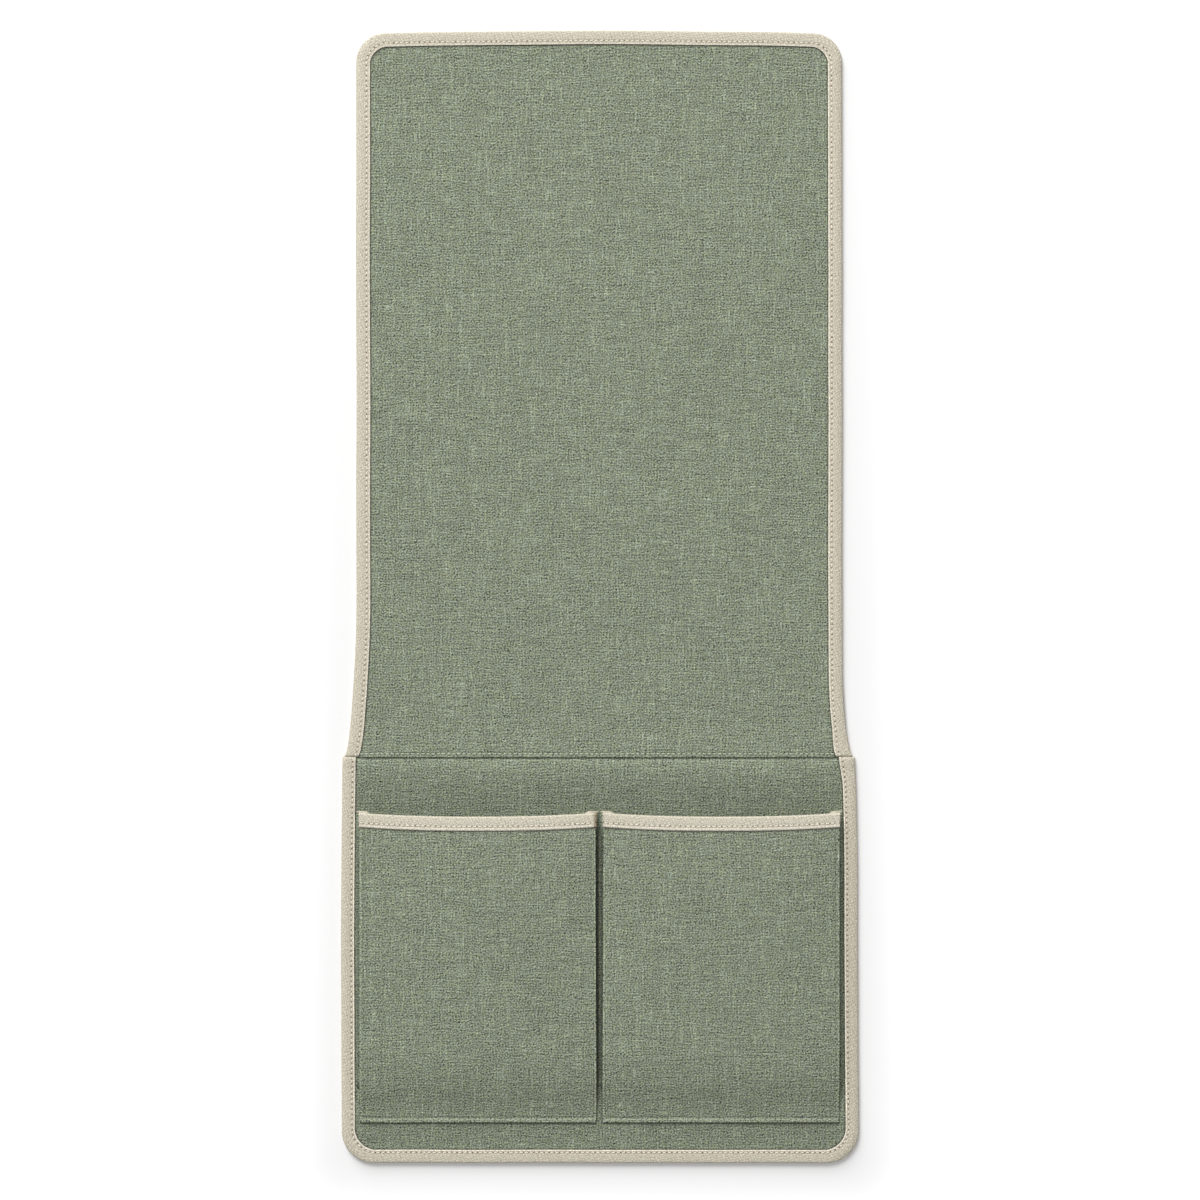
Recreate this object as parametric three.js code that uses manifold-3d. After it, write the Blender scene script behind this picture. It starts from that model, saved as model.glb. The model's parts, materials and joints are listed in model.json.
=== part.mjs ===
// A fabric armrest organizer, lying flat on its back: a long drape that goes over the
// arm of a sofa, sewn along one seam to a pocket panel with two pleated patch pockets.
// Millimetres. +X is the user's right, +Y runs from the pockets towards the free end of
// the drape, +Z is out of the face. The back lies on z = 0.
import * as THREE from 'three';
import { mergeVertices } from 'three/addons/utils/BufferGeometryUtils.js';
import Module from 'manifold-3d';

const wasm = await Module();
wasm.setup();

// Whole organizer
const overallLength = 700;
const panelWidth = 320;
const panelFlare = 1.5;
const panelFlareLength = 150;
const panelLength = 251;
const panelCornerRadius = 20;
const seamStep = 1;
const drapeFlare = 7;
const drapeFlareLength = 104;
const drapeCornerRadius = 18;
const drapeTopArch = 1.5;
const seamGap = 0.3;
const hemTurn = 7;
const hemRise = 0.5;

// Cloth layers, from the back to the face
const backingThickness = 0.5;
const interliningThickness = 1.2;
const faceThickness = 0.7;

// Woven tape that binds the edges
const tapeThickness = 0.5;
const bindingWidth = 8.7;
const bindingRound = 1.2;
const bindingClearance = 0.1;

// Pockets
const pocketBottom = 25;
const pocketHeight = 191.6;
const pocketMiddleGap = 4.7;
const pocketSideGap = 2.5;
const pocketDepth = 5.2;
const pocketCloth = 0.8;
const pocketHem = 4;
const pocketRiseLength = 30;
const pocketFootGap = 0.3;
const mouthSag = 2.3;
const mouthBindingWidth = 8.4;
const mouthBindingOverhang = 0.7;
const mouthBindingRound = 0.5;

// Pleats at the sides of each pocket, one fold deep
const pleatDepth = 7;
const pleatCloth = 0.6;
const pleatRise = 1.1;
const pleatFlange = 1.6;
const pleatGap = 0.3;

// Smoothness and reach of cutting tools
const curveSegments = 10;
const bevelSegments = 3;
const smallestRadius = 0.5;
const cutMargin = 5;

const panelSideX = panelWidth / 2;
const panelSeamX = panelSideX - panelFlare;
const drapeSeamX = panelSeamX - seamStep;
const drapeSideX = drapeSeamX - drapeFlare;
const endY = overallLength / 2;
const bottomY = -endY;
const seamY = bottomY + panelLength;
const drapeEndY = seamY + seamGap / 2;
const panelEndY = seamY - seamGap / 2;
const backZ = tapeThickness;
const interliningZ = backZ + backingThickness;
const faceZ = interliningZ + interliningThickness;
const topZ = faceZ + faceThickness;
const bindingTopZ = topZ + tapeThickness;

const pocketFootY = bottomY + pocketBottom;
const mouthY = pocketFootY + pocketHeight;
const pocketInnerX = pocketMiddleGap / 2;
const pocketOuterX = panelSideX - bindingWidth - pocketSideGap;
const pocketUnderZ = topZ + pocketDepth;
const clothTopDrop = tapeThickness + bindingClearance;
const pleatTopY = mouthY + pleatRise;

const colours = {
  linen: { color: 0x88917d, roughness: 0.92, metalness: 0 },
  tape: { color: 0xccc5b5, roughness: 0.88, metalness: 0 },
  backing: { color: 0xb7b2a4, roughness: 0.8, metalness: 0 },
  felt: { color: 0xdad7ce, roughness: 1, metalness: 0 },
};

// A closed geometry as a solid that can be joined and cut
function solid(geometry) {
  const bare = geometry.clone();
  bare.deleteAttribute('normal');
  bare.deleteAttribute('uv');
  const merged = mergeVertices(bare, 1e-4);
  return new wasm.Manifold(new wasm.Mesh({
    numProp: 3,
    vertProperties: new Float32Array(merged.attributes.position.array),
    triVerts: new Uint32Array(merged.index.array),
  }));
}

// A solid as a named mesh
function piece(name, body, colour) {
  const mesh = body.getMesh();
  const geometry = new THREE.BufferGeometry();
  geometry.setAttribute('position', new THREE.BufferAttribute(mesh.vertProperties, 3));
  geometry.setIndex(new THREE.BufferAttribute(mesh.triVerts, 1));
  geometry.computeVertexNormals();
  const named = new THREE.Mesh(geometry, new THREE.MeshStandardMaterial(colours[colour]));
  named.name = name;
  return named;
}

// An outline in X and Y as a sheet from zLow to zHigh, with its edge rounded by round
function sheet(outline, zLow, zHigh, round = 0) {
  const geometry = new THREE.ExtrudeGeometry(outline, {
    depth: zHigh - zLow - 2 * round,
    curveSegments,
    bevelEnabled: round > 0,
    bevelThickness: round,
    bevelSize: round,
    bevelOffset: -round,
    bevelSegments,
  });
  geometry.translate(0, 0, zLow + round);
  return solid(geometry);
}

// A profile in Y and Z drawn out along X
function alongX(profile, xLow, xHigh) {
  const geometry = new THREE.ExtrudeGeometry(profile, {
    depth: xHigh - xLow,
    curveSegments,
    bevelEnabled: false,
  });
  geometry.applyMatrix4(new THREE.Matrix4().makeBasis(
    new THREE.Vector3(0, 1, 0),
    new THREE.Vector3(0, 0, 1),
    new THREE.Vector3(1, 0, 0),
  ));
  geometry.translate(xLow, 0, 0);
  return solid(geometry);
}

function block(xOne, xTwo, yLow, yHigh, zLow, zHigh) {
  const width = Math.abs(xTwo - xOne);
  const geometry = new THREE.BoxGeometry(width, yHigh - yLow, zHigh - zLow);
  geometry.translate((xOne + xTwo) / 2, (yLow + yHigh) / 2, (zLow + zHigh) / 2);
  return solid(geometry);
}

// Everything between two heights on Y, as a cutting tool
function band(yLow, yHigh) {
  return block(-panelWidth, panelWidth, yLow, yHigh, -panelWidth, panelWidth);
}

// The drape's outline, drawn in by inset. Its sides run straight down past the seam, so
// that a cut at the seam leaves a square end.
function drapeOutline(inset) {
  const seamX = drapeSeamX - inset;
  const sideX = drapeSideX - inset;
  const flareX = sideX + (seamX - sideX) * 0.15;
  const flareTopY = seamY + drapeFlareLength;
  const flareLowY = seamY + drapeFlareLength * 0.08;
  const flareHighY = seamY + drapeFlareLength * 0.7;
  const radius = Math.max(drapeCornerRadius - inset, smallestRadius);
  const cornerX = sideX - radius;
  const archY = endY - inset;
  const cornerY = archY - drapeTopArch - radius;
  const outline = new THREE.Shape();
  outline.moveTo(-seamX, seamY - cutMargin);
  outline.lineTo(seamX, seamY - cutMargin);
  outline.lineTo(seamX, seamY);
  outline.bezierCurveTo(flareX, flareLowY, sideX, flareHighY, sideX, flareTopY);
  outline.lineTo(sideX, cornerY);
  outline.absarc(cornerX, cornerY, radius, 0, Math.PI / 2, false);
  outline.quadraticCurveTo(0, archY + drapeTopArch, -cornerX, archY - drapeTopArch);
  outline.absarc(-cornerX, cornerY, radius, Math.PI / 2, Math.PI, false);
  outline.lineTo(-sideX, flareTopY);
  outline.bezierCurveTo(-sideX, flareHighY, -flareX, flareLowY, -seamX, seamY);
  outline.closePath();
  return outline;
}

// The pocket panel's outline, drawn in by inset, with its sides run on past the seam
function panelOutline(inset) {
  const seamX = panelSeamX - inset;
  const sideX = panelSideX - inset;
  const flareX = (seamX + sideX) / 2;
  const flareEndY = seamY - panelFlareLength;
  const flareHighY = seamY - panelFlareLength * 0.08;
  const flareLowY = seamY - panelFlareLength * 0.4;
  const radius = Math.max(panelCornerRadius - inset, smallestRadius);
  const cornerX = sideX - radius;
  const cornerY = bottomY + inset + radius;
  const outline = new THREE.Shape();
  outline.moveTo(seamX, seamY + cutMargin);
  outline.lineTo(-seamX, seamY + cutMargin);
  outline.lineTo(-seamX, seamY);
  outline.bezierCurveTo(-flareX, flareHighY, -sideX, flareLowY, -sideX, flareEndY);
  outline.lineTo(-sideX, cornerY);
  outline.absarc(-cornerX, cornerY, radius, Math.PI, Math.PI * 1.5, false);
  outline.lineTo(cornerX, bottomY + inset);
  outline.absarc(cornerX, cornerY, radius, Math.PI * 1.5, Math.PI * 2, false);
  outline.lineTo(sideX, flareEndY);
  outline.bezierCurveTo(sideX, flareLowY, flareX, flareHighY, seamX, seamY);
  outline.closePath();
  return outline;
}

const drapeSide = band(drapeEndY, endY + cutMargin);
const panelSide = band(bottomY - cutMargin, panelEndY);

// The stack of cloths that the tape binds, under one outline
function layers(outline, side) {
  const cut = outline(tapeThickness + bindingClearance);
  return {
    backing: sheet(cut, backZ, interliningZ).intersect(side),
    interlining: sheet(cut, interliningZ, faceZ).intersect(side),
    face: sheet(cut, faceZ, topZ).intersect(side),
  };
}

// Tape folded round the edge of the stack: a channel that holds it on three sides
function edgeBinding(outline, side) {
  const opening = sheet(outline(bindingWidth), -cutMargin, bindingTopZ + cutMargin);
  const channel = sheet(outline(tapeThickness), backZ, topZ);
  return sheet(outline(0), 0, bindingTopZ, bindingRound)
    .subtract(opening)
    .subtract(channel)
    .intersect(side);
}

function drape() {
  const stack = layers(drapeOutline, drapeSide);
  const turnedEdge = sheet(drapeOutline(bindingWidth + bindingClearance), faceZ, topZ + hemRise)
    .intersect(band(drapeEndY, drapeEndY + hemTurn));
  return [
    piece('drape_face_fabric', stack.face.add(turnedEdge), 'linen'),
    piece('drape_interlining', stack.interlining, 'felt'),
    piece('drape_backing', stack.backing, 'backing'),
    piece('drape_edge_binding', edgeBinding(drapeOutline, drapeSide), 'tape'),
  ];
}

function panel() {
  const stack = layers(panelOutline, panelSide);
  return [
    piece('panel_face_fabric', stack.face, 'linen'),
    piece('panel_interlining', stack.interlining, 'felt'),
    piece('panel_backing', stack.backing, 'backing'),
    piece('panel_edge_binding', edgeBinding(panelOutline, panelSide), 'tape'),
  ];
}

// The curve of a pocket front seen from the side: a flat hem on the panel, a rise like
// a soft step, and a level run to the mouth. It adds that path, lifted by lift, to a
// profile that stands at the hem.
function pathToMouth(profile, lift) {
  const hemZ = topZ + pocketFootGap + lift;
  const frontZ = pocketUnderZ + lift;
  const hemEndY = pocketFootY + pocketHem;
  profile.lineTo(hemEndY, hemZ);
  profile.bezierCurveTo(
    hemEndY + pocketRiseLength * 0.25, hemZ,
    hemEndY + pocketRiseLength * 0.35, frontZ,
    hemEndY + pocketRiseLength, frontZ,
  );
  profile.lineTo(pleatTopY + cutMargin, frontZ);
}

// The same path from the mouth back to the hem
function pathToHem(profile, lift) {
  const hemZ = topZ + pocketFootGap + lift;
  const frontZ = pocketUnderZ + lift;
  const hemEndY = pocketFootY + pocketHem;
  profile.lineTo(pleatTopY + cutMargin, frontZ);
  profile.lineTo(hemEndY + pocketRiseLength, frontZ);
  profile.bezierCurveTo(
    hemEndY + pocketRiseLength * 0.35, frontZ,
    hemEndY + pocketRiseLength * 0.25, hemZ,
    hemEndY, hemZ,
  );
  profile.lineTo(pocketFootY, hemZ);
}

// The region of a pocket front below its mouth edge, which sags between the corners
function mouthOutline(xLow, xHigh, drop, yLow) {
  const handle = (xHigh - xLow) / 4;
  const cornerY = mouthY - drop;
  const sagY = cornerY - mouthSag * 4 / 3;
  const outline = new THREE.Shape();
  outline.moveTo(xLow, yLow);
  outline.lineTo(xHigh, yLow);
  outline.lineTo(xHigh, cornerY);
  outline.bezierCurveTo(xHigh - handle, sagY, xLow + handle, sagY, xLow, cornerY);
  outline.closePath();
  return outline;
}

// The tape's strip along the mouth, between its top edge and the same curve lower down
function mouthStrip(xLow, xHigh, height) {
  const handle = (xHigh - xLow) / 4;
  const sagY = mouthY - mouthSag * 4 / 3;
  const outline = new THREE.Shape();
  outline.moveTo(xLow, mouthY - height);
  outline.bezierCurveTo(
    xLow + handle, sagY - height, xHigh - handle, sagY - height, xHigh, mouthY - height,
  );
  outline.lineTo(xHigh, mouthY);
  outline.bezierCurveTo(xHigh - handle, sagY, xLow + handle, sagY, xLow, mouthY);
  outline.closePath();
  return outline;
}

function pocketFront(xLow, xHigh) {
  const profile = new THREE.Shape();
  profile.moveTo(pocketFootY, topZ + pocketFootGap);
  pathToMouth(profile, 0);
  pathToHem(profile, pocketCloth);
  profile.closePath();
  const region = sheet(
    mouthOutline(xLow, xHigh, clothTopDrop, pocketFootY - cutMargin),
    topZ - cutMargin,
    pocketUnderZ + cutMargin,
  );
  return alongX(profile, xLow - cutMargin, xHigh + cutMargin).intersect(region);
}

function mouthBinding(xLow, xHigh) {
  const low = xLow - mouthBindingOverhang;
  const high = xHigh + mouthBindingOverhang;
  const slot = mouthOutline(
    xLow - bindingClearance, xHigh + bindingClearance, tapeThickness, pocketFootY,
  );
  return sheet(
    mouthStrip(low, high, mouthBindingWidth),
    pocketUnderZ - tapeThickness,
    pocketUnderZ + pocketCloth + tapeThickness,
    mouthBindingRound,
  ).subtract(sheet(slot, pocketUnderZ, pocketUnderZ + pocketCloth));
}

// The space behind a pocket's side, from the fold of the pleat to openX, drawn in by
// inset from the pocket front, from the panel and from the fold
function pleatSpace(foldX, openX, inset) {
  const drop = tapeThickness + pleatGap + inset;
  const lowZ = topZ - cutMargin - drop;
  const profile = new THREE.Shape();
  profile.moveTo(pocketFootY, lowZ);
  profile.lineTo(pleatTopY + cutMargin, lowZ);
  pathToHem(profile, -drop);
  profile.closePath();
  const nearX = foldX + Math.sign(openX - foldX) * inset;
  const space = alongX(profile, Math.min(nearX, openX), Math.max(nearX, openX));
  const above = block(
    -panelWidth, panelWidth, bottomY, endY, topZ + inset, pocketUnderZ + cutMargin,
  );
  return space.intersect(above);
}

// One pleat: cloth folded into a channel that opens towards the pocket's side, its raw
// edge sewn down as a flange, and the tape that binds its top edge
function pleat(sideX, outward) {
  const foldX = sideX - outward * pleatDepth;
  const cutX = sideX + outward * cutMargin;
  const clothOut = tapeThickness;
  const clothIn = clothOut + pleatCloth;
  const bindingIn = clothIn + tapeThickness;
  const clothTopY = pleatTopY - clothTopDrop;

  const clothBand = band(pocketFootY, clothTopY);
  const flangeX = sideX + outward * pleatFlange;
  const flangeFootY = pocketFootY + pocketHem + pocketRiseLength / 2;
  const flange = block(sideX, flangeX, flangeFootY, clothTopY, topZ, topZ + clothIn);
  const cloth = pleatSpace(foldX, sideX, clothOut)
    .subtract(pleatSpace(foldX, cutX, clothIn))
    .intersect(clothBand)
    .add(flange);

  const slot = pleatSpace(foldX, cutX, clothOut - bindingClearance)
    .subtract(pleatSpace(foldX, cutX, clothIn + bindingClearance))
    .intersect(band(bottomY, pleatTopY - tapeThickness));
  const binding = pleatSpace(foldX, sideX, 0)
    .subtract(pleatSpace(foldX, cutX, bindingIn))
    .subtract(slot)
    .intersect(band(pleatTopY - mouthBindingWidth, pleatTopY));
  return { cloth, binding };
}

function pocket(name, side) {
  const innerX = side * pocketInnerX;
  const outerX = side * pocketOuterX;
  const xLow = Math.min(innerX, outerX);
  const xHigh = Math.max(innerX, outerX);
  const outer = pleat(outerX, side);
  const inner = pleat(innerX, -side);
  return [
    piece(`${name}_pocket_front`, pocketFront(xLow, xHigh), 'linen'),
    piece(`${name}_pocket_mouth_binding`, mouthBinding(xLow, xHigh), 'tape'),
    piece(`${name}_pocket_outer_pleat`, outer.cloth, 'linen'),
    piece(`${name}_pocket_outer_pleat_binding`, outer.binding, 'tape'),
    piece(`${name}_pocket_inner_pleat`, inner.cloth, 'linen'),
    piece(`${name}_pocket_inner_pleat_binding`, inner.binding, 'tape'),
  ];
}

const organizer = new THREE.Group();
organizer.add(...drape(), ...panel(), ...pocket('left', -1), ...pocket('right', 1));

export default organizer;
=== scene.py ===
# An armrest organizer in sage linen cloth, bound with ecru tape, laid flat on its back
# on a white floor: a long drape, a seam, and a pocket panel with two pleated pockets.
# +Y runs from the pockets to the free end of the drape, and +Z comes out of the face.
# Lengths are millimetres until a point is placed, then metres.
import json
import math
import random

import bmesh
import bpy
import numpy as np
from mathutils import Matrix, Vector, noise


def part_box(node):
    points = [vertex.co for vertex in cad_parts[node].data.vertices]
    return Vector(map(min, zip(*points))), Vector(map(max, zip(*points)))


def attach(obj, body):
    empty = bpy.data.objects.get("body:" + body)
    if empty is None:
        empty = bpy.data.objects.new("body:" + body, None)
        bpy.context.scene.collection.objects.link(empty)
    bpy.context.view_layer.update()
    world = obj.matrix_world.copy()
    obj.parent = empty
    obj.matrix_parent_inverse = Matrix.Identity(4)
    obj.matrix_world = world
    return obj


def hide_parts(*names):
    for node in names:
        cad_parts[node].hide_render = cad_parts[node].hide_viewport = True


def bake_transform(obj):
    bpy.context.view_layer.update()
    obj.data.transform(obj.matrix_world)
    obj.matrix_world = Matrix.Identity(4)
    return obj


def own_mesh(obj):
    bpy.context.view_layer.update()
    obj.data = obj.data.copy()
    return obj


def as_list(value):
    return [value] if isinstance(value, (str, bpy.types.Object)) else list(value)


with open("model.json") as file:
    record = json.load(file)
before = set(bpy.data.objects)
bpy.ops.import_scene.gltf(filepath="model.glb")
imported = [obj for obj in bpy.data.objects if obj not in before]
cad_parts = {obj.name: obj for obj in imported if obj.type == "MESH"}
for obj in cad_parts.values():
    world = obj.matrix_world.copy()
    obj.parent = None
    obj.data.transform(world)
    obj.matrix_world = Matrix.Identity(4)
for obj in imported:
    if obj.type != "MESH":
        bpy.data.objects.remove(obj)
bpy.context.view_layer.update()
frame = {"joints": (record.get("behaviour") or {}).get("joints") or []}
MM = 0.001


def lowest(node, axis):
    """The lowest place of a CAD node along an axis, in millimetres."""
    return round(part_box(node)[0]["XYZ".index(axis)] / MM, 2)


def highest(node, axis):
    """The highest place of a CAD node along an axis, in millimetres."""
    return round(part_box(node)[1]["XYZ".index(axis)] / MM, 2)


# Outline. The two ends are a little further out than in the frame, as in the photograph.
hinges = {joint["name"]: joint["pos_m"] for joint in frame["joints"]}
SEAM_Y = round(hinges["drape_fold"][1] / MM, 2)
SEAM_GAP = 0.03
FRAME_END_Y = highest("drape_edge_binding", "Y")
FRAME_BOTTOM_Y = lowest("panel_edge_binding", "Y")
END_Y = FRAME_END_Y + 0.7
BOTTOM_Y = FRAME_BOTTOM_Y - 0.5
PANEL_SIDE_X = highest("panel_edge_binding", "X")
PANEL_SEAM_X = PANEL_SIDE_X - 1.5
PANEL_FLARE_LENGTH = 150.0
PANEL_CORNER = 20.0
DRAPE_SEAM_X = PANEL_SEAM_X - 1.0
DRAPE_SIDE_X = DRAPE_SEAM_X - 7.0
DRAPE_FLARE_LENGTH = 104.0
DRAPE_CORNER = 18.0
DRAPE_ARCH = 1.5
DRAPE_ARCH_START_Y = FRAME_END_Y - 100

# Layers, each a hair thinner than the space that the frame gives it
BACKING_TOP = highest("drape_backing", "Z")
BACKING_THICKNESS = 0.48
FELT_TOP = highest("drape_interlining", "Z") - 0.02
FELT_THICKNESS = 1.14
FACE_TOP = highest("panel_face_fabric", "Z")
FACE_THICKNESS = 0.66
LAYER_INSET = 0.9
FACE_INSET = 1.8

# Tape round the edges
TAPE_THICKNESS = 0.45
TAPE_TOP = highest("drape_edge_binding", "Z") + 0.02
TAPE_WIDTH = 8.7
TAPE_ROLL = 0.55
TAPE_STITCH_INSET = 6.5
TAPE_CORNER_FULLNESS = 0.16
TAPE_END_FULLNESS = 0.18
TAPE_WAVER = 0.3
PANEL_TAPE_SHARE = 0.95

# Pockets. Their feet are a little lower than in the frame, as in the photograph.
POCKET_INNER_X = lowest("right_pocket_front", "X")
POCKET_OUTER_X = highest("right_pocket_front", "X")
POCKET_WIDTH = POCKET_OUTER_X - POCKET_INNER_X
POCKET_MIDDLE_X = (POCKET_OUTER_X + POCKET_INNER_X) / 2
FRAME_FOOT_Y = lowest("right_pocket_front", "Y")
POCKET_FOOT_Y = FRAME_FOOT_Y - 0.2
POCKET_CLOTH = 0.8
POCKET_UNDER = highest("right_pocket_front", "Z") - POCKET_CLOTH
POCKET_CROWN = 1.8
POCKET_HEM = 4.0
POCKET_RISE = 42.0
HEM_UNDER = lowest("right_pocket_front", "Z")
MOUTH_Y = highest("right_pocket_mouth_binding", "Y")
MOUTH_SAG = 2.3
MOUTH_TAPE_WIDTH = 8.9
MOUTH_OUTER_OVERHANG = -0.15
MOUTH_INNER_OVERHANG = 0.45
MOUTH_STITCH_INSET = 6.2
MOUTH_TURNING = 1.0
# How far inside the fold of its tape the cloth ends
IN_TAPE = 0.6

# Pleats at the sides of the pockets
PLEAT_DEPTH = 7.0
PLEAT_CLOTH = 0.6
PLEAT_TAPE_OUT = PLEAT_CLOTH / 2 + 0.5
PLEAT_SHOULDER = 1.1
PLEAT_TOP_Y = MOUTH_Y + 0.9
PLEAT_FLANGE = 1.6
PLEAT_FLANGE_Z = 3.3
PLEAT_LOWER_LEAF = 3.72
PLEAT_UNDER_FRONT = 1.55
PLEAT_LEAST_HALF = 0.34

# Sewing
STITCH_PITCH = 3.17
STITCH_LENGTH = 2.35
SEAM_STITCH_Y = SEAM_Y + 1.75
FOOT_STITCH = 1.9
SIDE_STITCH = 2.0
SEAM_STITCH_RISE = 0.18
HEM_STITCH_RISE = 0.22
MOUTH_STITCH_RISE = 1.28

random.seed(11)


# Smooth steps and unevenness
def ripple(x, y, size, seed):
    """Unevenness from -1 to 1, in waves of about size."""
    return noise.noise(Vector((x / size, y / size, seed)))


def ramp(value, start, end):
    """0 before start, 1 after end, and a smooth rise between them."""
    share = min(max((value - start) / (end - start), 0.0), 1.0)
    return share * share * (3 - 2 * share)


def fade(value, start, end):
    """1 before start, 0 after end, and a smooth fall between them."""
    return 1 - ramp(value, start, end)


def plateau(value, start, full, fading, end):
    """0 before start and after end, and 1 from full to fading."""
    return ramp(value, start, full) * fade(value, fading, end)


def hump(value, middle, reach):
    """1 at the middle, dying away on both sides."""
    return math.exp(-(((value - middle) / reach) ** 2))


def along(profile, place):
    """The height of a profile of (place, height) points at one place."""
    return float(np.interp(place, profile[:, 0], profile[:, 1]))


# Outlines
def lean(y):
    """How far to the right the cloth lies at the bottom, or to the left above the seam and
    near the far end."""
    right = 0.5 * fade(y, FRAME_BOTTOM_Y, FRAME_BOTTOM_Y + 150)
    return right - 1.0 * hump(y, SEAM_Y + 27, 42) - 0.4 * hump(y, FRAME_END_Y - 50, 70)


def curve(start, first, second, end, steps=28):
    """Points of a cubic curve from start up to, but without, its end."""
    t = np.linspace(0, 1, steps, endpoint=False)[:, None]
    start, first, second, end = map(np.array, (start, first, second, end))
    back = 1 - t
    return back ** 3 * start + 3 * back ** 2 * t * first + 3 * back * t ** 2 * second + t ** 3 * end


def with_corner(side, centre, radius, towards, steps=18):
    """A side and a quarter turn to the far edge, each point with its inward direction."""
    inward = np.tile((-1.0, 0.0), (len(side), 1))
    angles = np.linspace(0, math.pi / 2, steps)
    outward = np.stack([np.cos(angles), towards * np.sin(angles)], 1)
    return np.vstack([np.hstack([side, inward]), np.hstack([centre + radius * outward, -outward])])


def drape_side():
    """The drape's right side from the seam to the end of its corner."""
    flare_x = DRAPE_SIDE_X + (DRAPE_SEAM_X - DRAPE_SIDE_X) * 0.15
    flare = curve(
        (DRAPE_SEAM_X, SEAM_Y),
        (flare_x, SEAM_Y + DRAPE_FLARE_LENGTH * 0.08),
        (DRAPE_SIDE_X, SEAM_Y + DRAPE_FLARE_LENGTH * 0.7),
        (DRAPE_SIDE_X, SEAM_Y + DRAPE_FLARE_LENGTH),
    )
    flare[:, 1] = np.maximum(flare[:, 1], SEAM_Y + SEAM_GAP)
    centre = (DRAPE_SIDE_X - DRAPE_CORNER, END_Y - DRAPE_ARCH - DRAPE_CORNER)
    return with_corner(flare, centre, DRAPE_CORNER, 1)


def far_edge(corner_x, end_y, arch, towards, steps):
    """A far edge from its right corner to the middle, each point with its inward direction."""
    x = np.linspace(corner_x, 0, steps)[1:]
    y = end_y - arch * (x / corner_x) ** 2
    return np.stack([x, y, 0 * x, 0 * x - towards], 1)


def panel_side():
    """The panel's right side from the seam to the end of its corner."""
    flare = curve(
        (PANEL_SEAM_X, SEAM_Y),
        ((PANEL_SEAM_X + PANEL_SIDE_X) / 2, SEAM_Y - PANEL_FLARE_LENGTH * 0.08),
        (PANEL_SIDE_X, SEAM_Y - PANEL_FLARE_LENGTH * 0.4),
        (PANEL_SIDE_X, SEAM_Y - PANEL_FLARE_LENGTH),
    )
    flare[:, 1] = np.minimum(flare[:, 1], SEAM_Y - SEAM_GAP)
    centre = (PANEL_SIDE_X - PANEL_CORNER, BOTTOM_Y + PANEL_CORNER)
    return with_corner(flare, centre, PANEL_CORNER, -1)


def lengths_along(points):
    """How far along a line of points each one is."""
    return np.concatenate([[0], np.cumsum(np.hypot(*np.diff(points, axis=0).T))])


class Edge:
    """An outer edge walked clockwise: its place, and a place inside it, at any length."""

    def __init__(self, half, starts_left, width_share):
        self.starts_left = starts_left
        self.width_share = width_share
        self.stitch_inset = TAPE_STITCH_INSET / width_share
        mirrored = half * (-1, 1, -1, 1)
        first, last = (mirrored, half) if starts_left else (half, mirrored)
        self.walk = np.vstack([first, last[-2::-1]])
        self.walk[:, 0] += [lean(y) for y in self.walk[:, 1]]
        self.marks = lengths_along(self.walk[:, :2])
        self.length = self.marks[-1]
        stitch_line = [self.at(mark, self.stitch_inset) for mark in self.marks]
        self.sewn_marks = lengths_along(stitch_line)
        self.sewn_length = self.sewn_marks[-1]

    def at(self, walked, inset):
        """The point inset from the edge at a length along it. The tape is a little uneven,
        and wider in the corners and towards the seam's right end."""
        x, y, in_x, in_y = (np.interp(walked, self.marks, column) for column in self.walk.T)
        from_right_end = self.length - walked if self.starts_left else walked
        fullness = self.width_share + TAPE_CORNER_FULLNESS * self.turning(walked)
        fullness += TAPE_END_FULLNESS * fade(from_right_end, 0, 20)
        reach = (inset * fullness + TAPE_WAVER * ripple(x, y, 55, 4.4)) / math.hypot(in_x, in_y)
        return x + in_x * reach, y + in_y * reach

    def inward(self, walked):
        """The direction from the edge to the inside."""
        return tuple(float(np.interp(walked, self.marks, column)) for column in self.walk.T[2:])

    def turning(self, walked):
        """0 on the straights, and up to 0.5 in the middle of a corner, where tape gathers."""
        in_x, in_y = self.inward(walked)
        return abs(in_x * in_y)

    def sewn(self, walked):
        """How far along the stitch line a length along the edge is."""
        return float(np.interp(walked, self.marks, self.sewn_marks))

    def walked(self, sewn):
        """How far along the edge a length along the stitch line is."""
        return float(np.interp(sewn, self.sewn_marks, self.marks))

    def inside(self, x, y):
        """How far inside the tape's inner edge a point is."""
        start, run = self.walk[:-1, :2], np.diff(self.walk[:, :2], axis=0)
        share = np.clip((((x, y) - start) * run).sum(1) / (run ** 2).sum(1), 0, 1)
        nearest = start + run * share[:, None]
        away = np.hypot(*(nearest - (x, y)).T)
        found = away.argmin()
        walked = self.marks[found] + math.hypot(*run[found]) * share[found]
        return float(away[found]) - math.dist(self.at(walked, TAPE_WIDTH), nearest[found])


drape_end = far_edge(DRAPE_SIDE_X - DRAPE_CORNER, END_Y, DRAPE_ARCH, 1, 24)
panel_end = far_edge(PANEL_SIDE_X - PANEL_CORNER, BOTTOM_Y, 0, -1, 12)
drape_edge = Edge(np.vstack([drape_side(), drape_end]), starts_left=True, width_share=1)
panel_edge = Edge(np.vstack([panel_side(), panel_end]), starts_left=False, width_share=PANEL_TAPE_SHARE)


def half_width(side, y, inset):
    """Half the width of a layer at a height on Y, drawn in by inset."""
    points = side[:, :2] + side[:, 2:] * inset
    order = np.argsort(points[:, 1])
    return float(np.interp(y, points[order, 1], points[order, 0]))


# Relief of each cloth. A shade is how far a point of cloth is from the tape beside it, or
# one of tape from its stitches, and how open to the light it is: the finishes paint shade
# and highlight into the colour from it.
FAR_FROM_TAPE = 20
OPEN = (FAR_FROM_TAPE, 1)

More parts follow.
